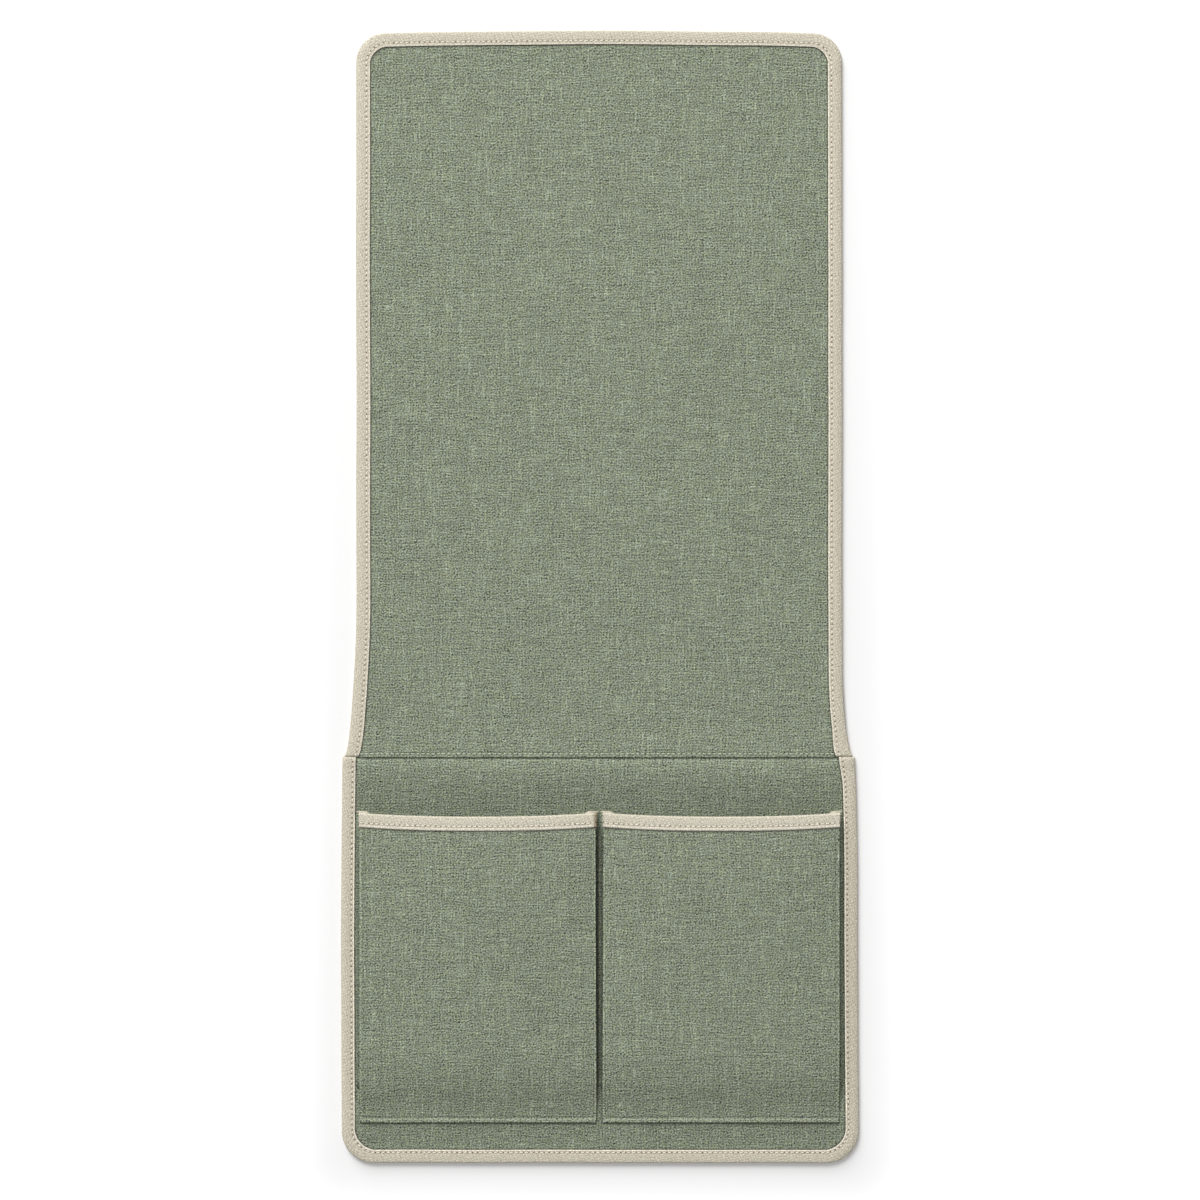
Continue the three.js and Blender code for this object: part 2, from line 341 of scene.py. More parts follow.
# The drape's turned hem, as (distance from the seam, height), with its stitches in a dip
HEM = np.array([
    (-0.4, 2.75), (-0.37, 3.12), (-0.28, 3.35), (-0.1, 3.44), (0.6, 3.49), (1.2, 3.36),
    (1.75, 3.24), (2.1, 3.34), (2.6, 3.46), (3.4, 3.51), (4.6, 3.52), (5.9, 3.45),
    (8.5, 3.33), (12, 3.14), (16, 2.98), (19, 2.92),
])
# The panel's face from its bottom edge to the seam: low under the mouths, crowned below the seam
HEADER = np.array([
    (-251, 2.45), (-242, 2.45), (-235, 2.75), (-228, 2.98), (-222, 3.0), (-201, 2.9),
    (-51, 2.9), (-41, 2.6), (-34, 2.35), (-29, 2.5), (-23, 2.9), (-17, 3.32), (-12, 3.62),
    (-9, 3.7), (-6, 3.62), (-4, 3.42), (-2.6, 3.2), (-1.9, 3.0), (-1.4, 2.7), (-1, 2.35),
    (-0.15, 2.2),
])
HEM_END_Y = SEAM_Y + HEM[-1, 0]


def drape_top(x, y):
    """Height and shade of the drape's face cloth: flat, with a turned hem at the seam."""
    inside = drape_edge.inside(x, y)
    past_hem = ramp(y, HEM_END_Y - 4, HEM_END_Y + 10)
    height = FACE_TOP + past_hem * (0.16 * ripple(x, y, 75, 3.1) + 0.05 * ripple(x, y, 17, 5.7))
    if y < HEM_END_Y:
        height += (along(HEM, y - SEAM_Y) - FACE_TOP) * ramp(inside, -0.6, 1.2)
    # Painted highlight on the hem's edge, and painted shade along the stitch row's dip
    openness = 1 + 0.12 * hump(y, SEAM_Y + 0.7, 0.8) - 0.25 * hump(y, SEAM_STITCH_Y, 0.5)
    return height, (min(inside, FAR_FROM_TAPE), openness)


def painted_shade_between_feet(x, y):
    """How much painted shade darkens the cloth in the gap between the pockets' feet, most beside them."""
    if abs(x) > POCKET_INNER_X + 3:
        return 0
    beside = 0.12 + 0.4 * hump(abs(x), POCKET_INNER_X - 0.4, 0.8) + 0.2 * hump(x, 1.7, 0.6)
    return beside * plateau(
        y, POCKET_FOOT_Y - 0.5, POCKET_FOOT_Y + 1, FRAME_FOOT_Y + 21, FRAME_FOOT_Y + 27
    )


def panel_top(x, y):
    """Height and shade of the pocket panel's face cloth. It has painted shade above the mouths,
    below the feet of the pockets and in the gap between their feet."""
    inside = panel_edge.inside(x, y)
    height = FACE_TOP + (along(HEADER, y - SEAM_Y) - FACE_TOP) * ramp(inside, -0.6, 2.5)
    height += 0.05 * ripple(x, y, 16, 9.2)
    above_mouth = y - mouth_y(x)
    openness = 1.04 - 0.21 * plateau(above_mouth, -6, -1, 2, 38)
    openness *= 1 - 0.12 * fade(y, POCKET_FOOT_Y, POCKET_FOOT_Y + 2)
    if POCKET_INNER_X - 0.5 < abs(x) < POCKET_OUTER_X:
        openness *= 1 - 0.36 * hump(y, POCKET_FOOT_Y - 0.9, 0.6)
    openness *= 1 - painted_shade_between_feet(x, y)
    return height, (min(inside, FAR_FROM_TAPE), openness)


def rise_profile():
    """The underside of a pocket's front, as (y, height), from its foot to its full height."""
    hem_end = POCKET_FOOT_Y + POCKET_HEM
    rise = curve(
        (hem_end, HEM_UNDER),
        (hem_end + POCKET_RISE * 0.25, HEM_UNDER),
        (hem_end + POCKET_RISE * 0.35, POCKET_UNDER),
        (hem_end + POCKET_RISE, POCKET_UNDER),
        16,
    )
    return np.vstack([[(POCKET_FOOT_Y, HEM_UNDER)], rise, [(hem_end + POCKET_RISE, POCKET_UNDER)]])


RISE = rise_profile()


def front_under(x, y):
    """Height of the underside of a pocket front: the frame's curve, crowned a little."""
    share = (abs(x) - POCKET_MIDDLE_X) / (POCKET_WIDTH / 2)
    up = min(max((y - POCKET_FOOT_Y) / (MOUTH_Y - POCKET_FOOT_Y), 0), 1)
    crown = POCKET_CROWN * (1 - min(share * share, 1)) * math.sin(math.pi * up ** 1.35 * 0.85)
    return along(RISE, y) + crown


def front_top(x, y):
    """A point on the face of a pocket front, for stitches to sit on."""
    return (x, y, front_under(x, y) + POCKET_CLOTH - 0.02)


def on_seam(x, y):
    """A point on the drape's hem, for stitches to sit on."""
    return (x, y, drape_top(x, y)[0] + SEAM_STITCH_RISE)


def mouth_y(x):
    """Where the mouth's edge is: it sags between the pocket's corners."""
    share = min(abs(abs(x) - POCKET_MIDDLE_X) / (POCKET_WIDTH / 2), 1)
    return MOUTH_Y - MOUTH_SAG * (1 - share ** 2.4)


# Cloth work
def whole_pitch(length):
    """The stitch pitch that goes a whole number of times into a length."""
    return length / round(length / STITCH_PITCH)


def at_row(marks, share):
    """The mark at a share of the way through a list of them."""
    return float(np.interp(share * (len(marks) - 1), range(len(marks)), marks))


def add_piece(name, shape, finish):
    mesh = bpy.data.meshes.new(name)
    shape.to_mesh(mesh)
    shape.free()
    piece = bpy.data.objects.new(name, mesh)
    bpy.context.scene.collection.objects.link(piece)
    mesh.materials.append(finish)
    return piece


def cut_and_lay(name, finish, columns, rows, lay, thickness, turned=False):
    """A flat cut of cloth. lay takes shares of the way across and up the cut, and gives
    where that point lies, where it was in the flat cut, and its shade."""
    cloth = bmesh.new()
    bmesh.ops.create_grid(cloth, x_segments=columns, y_segments=rows, size=1)
    cut = cloth.loops.layers.uv.new("cut")
    shade = cloth.loops.layers.uv.new("shade")
    known = {}
    for vert in cloth.verts:
        place, *known[vert.index] = lay((vert.co.x + 1) / 2, (vert.co.y + 1) / 2)
        vert.co = Vector(place) * MM
    for face in cloth.faces:
        face.smooth = True
        for loop in face.loops:
            loop[cut].uv, loop[shade].uv = known[loop.vert.index]
    if turned:
        bmesh.ops.reverse_faces(cloth, faces=cloth.faces)
    piece = add_piece(name, cloth, finish)
    wall = piece.modifiers.new("thickness", "SOLIDIFY")
    wall.thickness = thickness * MM
    wall.offset = -1
    return piece


def lay_layer(name, finish, side, row_marks, top, thickness, columns, inset=LAYER_INSET):
    """One layer under an outline, laid in rows across the organizer. columns are shares of
    half its width, from -1 to 1."""
    corner_x = DRAPE_SIDE_X - DRAPE_CORNER

    def lay(across, up):
        row_y = at_row(row_marks, up)
        x = at_row(columns, across) * half_width(side, row_y, inset)
        arched = ramp(row_y, DRAPE_ARCH_START_Y, END_Y) * max(0, 1 - (x / corner_x) ** 2)
        y = row_y + DRAPE_ARCH * arched
        height, shade = top(x, y)
        return (x, y, height), (x, row_y), shade

    return cut_and_lay(name, finish, len(columns) - 1, len(row_marks) - 1, lay, thickness)


def mirrored_marks(low, high, end_steps, inset, count):
    """Marks from low to high: end_steps in from both ends, and even ones from inset on."""
    middle = np.linspace(low + inset, high - inset, count).tolist()
    return [low + step for step in end_steps] + middle + [high - step for step in reversed(end_steps)]


def flat_at(height):
    return lambda x, y: (height, OPEN)


class Section:
    """A folded tape seen from its end, as (distance in from the edge, height) points: its
    front, a roll round the edge that it binds, and its back."""

    def __init__(self, front, roll, back):
        self.points = np.array(front + roll + back, float)
        self.marks = lengths_along(self.points)
        self.length = float(self.marks[-1])
        self.roll_start = float(self.marks[len(front) - 1])
        self.roll_end = float(self.marks[len(front) + len(roll) // 2 + 1])

    def at(self, mark):
        """The distance in and the height at a mark along the section."""
        return tuple(float(np.interp(mark, self.marks, column)) for column in self.points.T)


def roll(centre, across, up, steps=9):
    """Half a turn of tape round the edge that it binds, from the front to the back."""
    angles = np.linspace(math.pi / 2, -math.pi / 2, steps)
    return [(centre[0] - across * math.cos(a), centre[1] + up * math.sin(a)) for a in angles]


EDGE_FRONT = [
    (TAPE_WIDTH, 3.38), (8.35, 3.43), (7.0, 3.44), (5.2, 3.5), (3.8, 3.52), (2.4, 3.5), (1.2, 3.44),
]
EDGE_ROLL_RADIUS = 1.66
EDGE_ROLL = roll((TAPE_ROLL, EDGE_ROLL_RADIUS), TAPE_ROLL, EDGE_ROLL_RADIUS)
EDGE_SECTION = Section(EDGE_FRONT, EDGE_ROLL, [(3.5, 0), (6, 0), (TAPE_WIDTH, 0)])
# Most of the section's steps are on its front, which is stitched, and on its roll
EDGE_STEPS = 30
EDGE_SHARES = np.interp(np.linspace(0, 1, EDGE_STEPS + 1), [0, 0.6, 0.88, 1], [0, 0.40, 0.61, 1])


def beside_pockets(y):
    """1 where an edge tape runs beside a pocket and gets a painted highlight, and 0 elsewhere."""
    return plateau(y, FRAME_FOOT_Y + 3, FRAME_FOOT_Y + 13, MOUTH_Y - 8, MOUTH_Y)


def pulled_down(from_stitches, sewn, pitch):
    """How much lower tape lies beside its stitches: most at the needle holes."""
    return 0.1 * hump(from_stitches, 0, 0.9) * math.cos(2 * math.pi * sewn / pitch)


def bind_edge(name, finish, edge, end_shape):
    """Tape folded round an outer edge, pressed a little thinner along the sides. end_shape
    lifts or lowers it near its two ends."""
    pitch = whole_pitch(edge.sewn_length)

    def lay(up, across):
        walked = up * edge.length
        sewn = edge.sewn(walked)
        mark = EDGE_SECTION.length * at_row(EDGE_SHARES, across)
        inset, height = EDGE_SECTION.at(mark)
        from_stitches = inset - edge.stitch_inset
        from_end = min(walked, edge.length - walked)
        x, y = edge.at(walked, inset)
        height *= 1 - 0.14 * abs(edge.inward(walked)[0]) * fade(inset, 0, 3.6)
        if height > EDGE_ROLL_RADIUS:
            height -= 0.2 * hump(from_stitches, 0, 0.55)
            height -= pulled_down(from_stitches, sewn, pitch)
            height += 0.05 * ripple(x, y, 9, 2.2)
            height += end_shape(from_end) * ramp(height, 1.5, 3.2)
            gathers = ramp(inset, 2.5, 5) * math.sin(walked * 2.6) ** 3
            height += 0.3 * edge.turning(walked) * gathers
        # Painted shade at the tape's ends by the seam, and a painted highlight on the panel tape's inner
        # edge beside the pockets
        openness = 1 - 0.1 * hump(from_end, 0, 0.5)
        openness += 0.28 * beside_pockets(y) * ramp(inset, 7.2, 8.2)
        return (x, y, height), (sewn, mark), (from_stitches, openness)

    steps = 2 * round(edge.length / STITCH_PITCH)
    return cut_and_lay(name, finish, steps, EDGE_STEPS, lay, TAPE_THICKNESS)


def sew(name, finish, stitches, length=STITCH_LENGTH, width=0.72, height=0.6):
    """Stitches as short beads of thread. Each is given by its middle and the way it runs."""
    bead = bmesh.new()
    bmesh.ops.create_uvsphere(bead, u_segments=6, v_segments=5, radius=1)
    for face in bead.faces:
        face.smooth = True
    one = bpy.data.meshes.new("bead")
    bead.to_mesh(one)
    bead.free()
    thread = bmesh.new()
    for middle, heading in stitches:
        wobble = Vector((random.uniform(-0.05, 0.05), random.uniform(-0.05, 0.05), 0))
        turn = (heading.normalized() + wobble * 0.8).to_track_quat("Z", "Y").to_matrix().to_4x4()
        grow = 1 + random.uniform(-0.08, 0.08)
        size = Matrix.Diagonal((width / 2, height / 2, length * grow / 2, 1))
        laid = one.copy()
        laid.transform(Matrix.Scale(MM, 4) @ Matrix.Translation(middle + wobble) @ turn @ size)
        thread.from_mesh(laid)
        bpy.data.meshes.remove(laid)
    bpy.data.meshes.remove(one)
    return add_piece(name, thread, finish)


def stitches_along(length, laid_at, reach):
    """Stitches all along a length. laid_at gives the place at a distance along it."""
    pitch = whole_pitch(length)
    found = []
    for number in range(round(length / pitch)):
        gone = (number + 0.5) * pitch
        found.append((laid_at(gone), laid_at(gone + reach) - laid_at(gone - reach)))
    return found


def edge_stitches(edge):
    """Stitches all along a bound edge."""

    def laid_at(sewn):
        return Vector((*edge.at(edge.walked(sewn), edge.stitch_inset), TAPE_TOP))

    return stitches_along(edge.sewn_length, laid_at, 0.5)


def line_stitches(start, end, place):
    """Stitches in a row from start to end, each laid by place."""
    length = math.dist(start, end)

    def laid_at(gone):
        return Vector(place(*(a + (b - a) * gone / length for a, b in zip(start, end))))

    return stitches_along(length, laid_at, 0.3)


# Shader maths
def add_node(tree, kind, settings, inputs):
    """A node with its settings, and then the values or links of its sockets."""
    made = tree.nodes.new(kind)
    for name, value in settings.items():
        setattr(made, name, value)
    for name, value in inputs.items():
        if isinstance(value, Number):
            value = value.socket
        if isinstance(value, bpy.types.NodeSocket):
            tree.links.new(value, made.inputs[name])
        else:
            made.inputs[name].default_value = value
    return made


def for_camera(tree, others, camera):
    """One shader for the camera's own rays, and another for all the others."""
    rays = add_node(tree, "ShaderNodeLightPath", {}, {})
    inputs = {0: rays.outputs["Is Camera Ray"], 1: others.outputs[0], 2: camera.outputs[0]}
    return add_node(tree, "ShaderNodeMixShader", {}, inputs)


class Number:
    """A socket that carries a number, so that shader maths reads as arithmetic."""

    def __init__(self, finish, socket):
        self.finish = finish
        self.socket = socket

    def math(self, operation, *others):
        inputs = dict(enumerate((self, *others)))
        node = self.finish.node("ShaderNodeMath", {"operation": operation}, inputs)
        return Number(self.finish, node.outputs[0])

    def __add__(self, other):
        return self.math("ADD", other)

    def __mul__(self, other):
        return self.math("MULTIPLY", other)

    def __sub__(self, other):
        return self.math("SUBTRACT", other)

    def __truediv__(self, other):
        return self.math("DIVIDE", other)

    def __pow__(self, other):
        return self.math("POWER", other)

    def __rsub__(self, other):
        return self * -1 + other

    __radd__ = __add__
    __rmul__ = __mul__

    def between(self, low, high):
        """0 below low and 1 above high, with a soft step."""
        inputs = {"Value": self, "From Min": low, "From Max": high}
        node = self.finish.node("ShaderNodeMapRange", {"interpolation_type": "SMOOTHSTEP"}, inputs)
        return Number(self.finish, node.outputs["Result"])


class Finish:
    """A material in the making: its nodes and its shader."""

    def __init__(self, name, **constants):
        self.material = bpy.data.materials.new(name)
        self.material.use_nodes = True
        self.tree = self.material.node_tree
        self.shader = self.tree.nodes["Principled BSDF"]
        for socket, value in constants.items():
            self.shader.inputs[socket.replace("_", " ").title()].default_value = value

    def node(self, kind, settings, inputs):
        return add_node(self.tree, kind, settings, inputs)

    def apart(self, vector):
        """The three numbers of a vector."""
        parts = self.node("ShaderNodeSeparateXYZ", {}, {"Vector": vector})
        return [Number(self, parts.outputs[axis]) for axis in "XYZ"]

    def of_cloth(self, layer):
        """The two numbers that a layer holds: "cut" has where a point was in the flat cut, in
        millimetres, and "shade" its shade."""
        place = self.node("ShaderNodeUVMap", {"uv_map": layer}, {})
        return self.apart(place.outputs["UV"])[:2]

    def object_place(self):
        """Where a point is on the object, in metres."""
        place = self.node("ShaderNodeTexCoord", {}, {})
        return self.apart(place.outputs["Object"])

    def grain(self, x, y, z=0.0, detail=0.0):
        """Noise from 0 to 1 at a place."""
        place = self.node("ShaderNodeCombineXYZ", {}, {"X": x, "Y": y, "Z": z})
        inputs = {"Vector": place.outputs[0], "Scale": 1.0, "Detail": detail}
        made = self.node("ShaderNodeTexNoise", {"noise_dimensions": "3D"}, inputs)
        return Number(self, made.outputs[0])

    def sway(self, x, y, z, reach):
        """Noise round 0 that pushes threads aside."""
        return (self.grain(x, y, z) - 0.5) * reach

    def mix(self, share, one, other, blend="MIX"):
        """One colour going over to another."""
        settings = {"data_type": "RGBA", "blend_type": blend}
        return self.node("ShaderNodeMix", settings, {"Factor": share, 6: one, 7: other}).outputs[2]

    def grey(self, tone):
        return self.node("ShaderNodeCombineColor", {}, {"Red": tone, "Green": tone, "Blue": tone}).outputs[0]

    def shade(self, colour, tone):
        """A colour made lighter or darker by a number."""
        return self.mix(1.0, colour, self.grey(tone), "MULTIPLY")

    def finish(self, colour, height, strength, distance):
        """Sets the colour, and a bump from height."""
        self.tree.links.new(colour, self.shader.inputs["Base Color"])
        bump = self.node(
            "ShaderNodeBump", {}, {"Height": height, "Strength": strength, "Distance": distance * MM}
        )
        self.tree.links.new(bump.outputs[0], self.shader.inputs["Normal"])
        return self.material


def dye(red, green, blue):
    """A colour given as it looks on screen."""
    channels = [c / 255 for c in (red, green, blue)]
    return tuple(c / 12.92 if c <= 0.04045 else ((c + 0.055) / 1.055) ** 2.4 for c in channels) + (1.0,)


# Finishes
def sage_linen():
    """Plain-woven linen look: uneven threads both ways, lying fibres and a few light threads."""
    cloth = Finish("sage_linen", roughness=0.92, sheen_weight=0.08)
    x, y = cloth.of_cloth("cut")
    from_tape, openness = cloth.of_cloth("shade")
    warp = x / 1.7 + cloth.sway(x / 11, y / 11, 1.7, 2.0) + cloth.sway(x / 2.0, y / 2.6, 4.4, 0.9)
    weft = y / 1.6 + cloth.sway(x / 11, y / 11, 8.3, 2.0) + cloth.sway(x / 2.8, y / 2.0, 6.1, 0.7)
    warp_bulge = (warp * math.pi).math("SINE")
    weft_bulge = (weft * math.pi).math("SINE")
    warp_round = warp_bulge * warp_bulge
    weft_round = weft_bulge * weft_bulge
    warp_on_top = (warp_bulge * weft_bulge).between(-0.3, 0.3)
    warp_height = warp_on_top * warp_round * (weft_round * 0.5 + 0.5)
    height = warp_height + (1 - warp_on_top) * weft_round * (warp_round * 0.3 + 0.7)
    weft_slub = cloth.grain(x / 5, weft.math("FLOOR") * 5.3, 2.0, 1.0)
    warp_slub = cloth.grain(warp.math("FLOOR") * 5.3, y / 5, 7.0, 1.0)
    slub = (1 - warp_on_top) * (weft_slub - 0.5) * 0.38 + warp_on_top * (warp_slub - 0.5) * 0.2

    def strokes(lengthwise, sideways, seed):
        """Fine fibres, each with a painted highlight on one side and painted shade on the other."""
        light = cloth.grain(lengthwise / 1.6, sideways / 0.6, seed)
        return light - cloth.grain(lengthwise / 1.6, (sideways + 0.85) / 0.6, seed)

    slant = (x + y) * math.sqrt(0.5)
    tilt = (x - y) * math.sqrt(0.5)
    threads = strokes(x, y, 1.3) + strokes(y, x, 9.1)
    crossing = strokes(slant, tilt, 3.7) + strokes(tilt, slant, 6.2)
    fibre = threads * 0.6 + crossing * 1.5
    lying_streak = cloth.grain(x / 26, y / 1.2, 5.1) - 0.5
    standing_streak = cloth.grain(x / 1.8, y / 34, 6.6) - 0.5
    streak = lying_streak * 0.34 + standing_streak * 0.12
    light_weft = cloth.grain(x / 9, y / 0.7, 12.1).between(0.6, 0.75)
    light_warp = cloth.grain(x / 0.7, y / 12, 14.6).between(0.62, 0.77)
    # The weave's height and the fibre strokes paint shade into the colour: thread crowns lighter, hollows
    # darker
    tone = 0.55 + height * 0.52 + fibre * 0.5 + slub + streak + (light_weft + light_warp) * 0.28
    # Painted shade beside the tapes, and the painted shade and highlight of the shade map
    shaded = (1 - (1 - from_tape.between(0.1, 1.3)) * 0.62) * openness
    hue = cloth.grain(x / 1.3, y / 1.3, 5.5)
    colour = cloth.mix(hue.between(0.3, 0.7), dye(152, 161, 133), dye(152, 162, 144))
    return cloth.finish(cloth.shade(colour, tone * shaded), height * 0.7 + fibre, 0.6, 0.3)


def ecru_tape(name, base, pitch, worn_span, wear, stitch_shade, selvedge_width=0.5):
    """Cotton tape in a fine twill, its ribs painted lighter on their crowns: a light selvedge, painted
    shade on the stitch line and its uneven needle holes, a roll that is a little worn and browner,
    brown thread where a mouth tape is less open, painted shade where an edge tape is less open,
    and a painted highlight where it is more open than full."""
    tape = Finish(name, roughness=0.88, sheen_weight=0.05)
    walked, across = tape.of_cloth("cut")
    from_stitches, openness = tape.of_cloth("shade")
    sway = tape.sway(walked / 5, across / 5, 1.1, 1.6)
    rib = ((walked / 1.9 + across / 3.8 + sway) * math.pi).math("SINE")
    row = ((across / 1.5 - walked / 7 + sway) * math.pi).math("SINE")
    height = rib * rib * row * row
    fibre = tape.grain(walked / 0.6, across / 0.6, 2.2)
    patch = tape.grain(walked / 1.6, across / 1.3, 4.0, 1.0)
    tone = 0.96 + (height - 0.25) * 0.36 + (fibre - 0.5) * 0.7 + (patch - 0.5) * 0.55
    selvedge = 1 - across.between(selvedge_width, selvedge_width + 0.6)
    colour = tape.mix(selvedge, base, dye(240, 231, 213))
    start, end = worn_span
    worn = across.between(start, start + 1.5) * (1 - across.between(end - 1.0, end))
    colour = tape.mix(worn * wear, colour, dye(172, 158, 133))
    step = (walked / pitch).math("FRACT") * pitch
    from_hole = (step - pitch / 2).math("ABSOLUTE") - pitch / 2
    near = (from_hole ** 2 + from_stitches ** 2).math("SQRT")
    hole = 1 - near.between(0.35, 0.8)
    stitch_line = 1 - from_stitches.math("ABSOLUTE").between(0.2, 0.9)
    unevenness = tape.grain(walked / 2.5, 0.0, 8.8).between(0.3, 0.7)
    # Painted shade in the needle holes and along the stitch line
    marked = hole * (0.2 + unevenness * 0.55) + stitch_line * stitch_shade
    colour = tape.mix(marked, colour, dye(132, 110, 84))
    # Brown thread at a mouth tape's inner end, and painted shade at an edge tape's ends by the seam
    colour = tape.mix(1 - openness, colour, dye(128, 108, 70))
    # Painted highlight where openness is above 1: the panel tape's inner edge beside the pockets
    lit = tone * openness.math("MAXIMUM", 1)
    return tape.finish(tape.shade(colour, lit), height * (1 - selvedge) - hole * 1.5, 0.5, 0.2)


def sewing_thread(name, colour):
    """Twisted sewing thread."""
    thread = Finish(name, roughness=0.7, sheen_weight=0.1)
    x, y, z = (axis / (0.3 * MM) for axis in thread.object_place())
    ply = thread.grain(x, y, z)
    return thread.finish(thread.shade(colour, 0.85 + ply * 0.3), ply, 0.4, 0.05)


def backing_cloth():
    """Plain grey-beige backing, finer and duller than the face."""
    cloth = Finish("backing_cloth", roughness=0.85)
    x, y = cloth.of_cloth("cut")
    weave = ((x / 0.9 * math.pi).math("SINE") * (y / 0.9 * math.pi).math("SINE")).math("ABSOLUTE")
    patch = cloth.grain(x / 6, y / 6, 1.0, 2.0)
    tone = 0.88 + weave * 0.12 + (patch - 0.5) * 0.16
    return cloth.finish(cloth.shade(dye(186, 181, 168), tone), weave, 0.3, 0.1)


def needle_felt():
    """Needle felt with fibres lying every way."""
    wool = Finish("needle_felt", roughness=0.95)
    x, y = wool.of_cloth("cut")
    lying = wool.grain(x / 3 + y / 9, y / 0.7, 1.0, 2.0)
    crossing = wool.grain(x / 0.7, y / 3 - x / 9, 5.0, 2.0)
    tone = 0.8 + lying * 0.2 + crossing * 0.2
    return wool.finish(wool.shade(dye(218, 214, 204), tone), lying + crossing, 0.5, 0.3)


LINEN = sage_linen()
BACKING = backing_cloth()
FELT = needle_felt()
ECRU = dye(210, 203, 184)
ECRU_THREAD = sewing_thread("ecru_thread", dye(243, 237, 222))
SAGE_THREAD = sewing_thread("sage_thread", dye(186, 195, 170))
EDGE_WORN = (EDGE_SECTION.roll_start, EDGE_SECTION.roll_end)
DRAPE_PITCH = whole_pitch(drape_edge.sewn_length)
PANEL_PITCH = whole_pitch(panel_edge.sewn_length)
DRAPE_TAPE = ecru_tape("ecru_tape_drape", ECRU, DRAPE_PITCH, EDGE_WORN, 0.2, stitch_shade=0.1)
PANEL_TAPE = ecru_tape("ecru_tape_panel", ECRU, PANEL_PITCH, EDGE_WORN, 0.2, stitch_shade=0.22)


# Pieces, and the frame's nodes that they stand for
def declare(piece, node, slot, width, length, held, rests_on, area=None):
    """Hides the frame's node that a cloth piece stands for. The flat size that it was cut to is worked out
    but not kept.
    """
    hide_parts(node)
    flat = (width * MM, length * MM)
    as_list(rests_on)


def across_seam(piece):
    """Bakes the place of a piece at the seam into its mesh."""
    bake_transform(piece)


def open_with(piece):
    """Bakes the place of a pleat piece into its mesh."""
    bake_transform(piece)


def rows(origin, *stretches):
    """Row marks counted from an origin, as single marks and stretches of (start, end, step)."""
    marks = []
    for stretch in stretches:
        marks += np.arange(*stretch).tolist() if isinstance(stretch, tuple) else [stretch]
    return [origin + mark for mark in marks]


# Floor. The camera sees it glow a little, less beside the object and more far away: the
# lesser glow paints the object's shadow darker beside it, and the floor stays white round it.
FLOOR_Z = -0.05
white = Finish("white_floor", roughness=0.9, base_color=(0.9, 0.9, 0.9, 1))
floor_x, floor_y = white.object_place()[:2]
beside = (floor_x.math("ABSOLUTE") - (PANEL_SIDE_X - 5) * MM).math("MAXIMUM", 0)
beyond = (floor_y.math("ABSOLUTE") - (FRAME_END_Y - 5) * MM).math("MAXIMUM", 0)
distance = (beside ** 2 + beyond ** 2).math("SQRT")
clear = 0.1 + distance.between(0.002, 0.07) * 0.36 + distance.between(0.6, 4.0) * 0.6
glow = white.node("ShaderNodeEmission", {}, {"Color": white.grey(clear), "Strength": 1.0})
dark = white.node("ShaderNodeEmission", {}, {"Strength": 0.0})
seen = for_camera(white.tree, dark, glow)
both = white.node("ShaderNodeAddShader", {}, {0: white.shader.outputs[0], 1: seen.outputs[0]})
white.tree.links.new(both.outputs[0], white.tree.nodes["Material Output"].inputs["Surface"])
floor_shape = bmesh.new()
floor_place = Matrix.Translation((0, 0, FLOOR_Z * MM))
bmesh.ops.create_grid(floor_shape, x_segments=4, y_segments=4, size=12, matrix=floor_place)
floor = add_piece("floor", floor_shape, white.material)
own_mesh(floor)


def lay_stack(name, side, face_top, face_columns, face_rows, under_rows):
    """A face cloth, and the felt and the backing cloth under it."""
    face = (LINEN, side, face_rows, face_top, FACE_THICKNESS, face_columns, FACE_INSET)
    stack = [lay_layer(f"{name}_cloth", *face)]
    for kind, finish, top, thickness in (
        ("felt", FELT, FELT_TOP, FELT_THICKNESS),
        ("backing_cloth", BACKING, BACKING_TOP, BACKING_THICKNESS),
    ):
        columns = np.linspace(-1, 1, 25)
        stack.append(lay_layer(f"{name}_{kind}", finish, side, under_rows, flat_at(top), thickness, columns))
    return stack


# Drape
drape_face, drape_felt, drape_back = lay_stack(
    "drape", drape_side(), drape_top, np.linspace(-1, 1, 97),
    rows(SEAM_Y, *HEM[:, 0], (22, 421, 3.2), (421, 445, 2.0), 446),
    rows(SEAM_Y, 0.05, 1.5, 3, 4.5, 6, 8, 11, (19, 439, 12), 445),
)
drape_tape = bind_edge(
    "drape_edge_tape", DRAPE_TAPE, drape_edge, lambda from_end: -0.12 * fade(from_end, 0, 2.5)
)
drape_edge_stitches = sew("drape_edge_stitches", ECRU_THREAD, edge_stitches(drape_edge))
seam_x = DRAPE_SEAM_X - TAPE_WIDTH
seam_row = line_stitches((-seam_x, SEAM_STITCH_Y), (seam_x, SEAM_STITCH_Y), on_seam)
seam_stitches = sew("seam_stitches", SAGE_THREAD, seam_row, length=2.6, width=1.05)

# Pocket panel
panel_rows = rows(
    SEAM_Y, -249.5, (-248, -230, 3.0), (-229, -223, 0.5), (-222, -21, 3.0), (-20, -7, 2.0),
    -6.5, -5, -4, -3.2, -2.6, -2.2, -1.9, -1.6, -1.4, -1.2, -1, -0.6, -0.15,
)
# Fine columns where the cloth shows between the pockets
panel_columns = mirrored_marks(-1, 1, np.linspace(0, 0.97, 56), 0.974, 15)
panel_face, panel_felt, panel_back = lay_stack(
    "panel", panel_side(), panel_top, panel_columns, panel_rows,
    rows(SEAM_Y, -250, (-246, -16, 12), -13, -9, -6, -4, -2.5, -1, -0.15),
)


def folded_end(from_end):
    """The panel tape's ends are folded under, so they are thicker, with a rounded brow."""
    return 0.3 * fade(from_end, 5, 7) - 0.2 * fade(from_end, -0.6, 0.8)


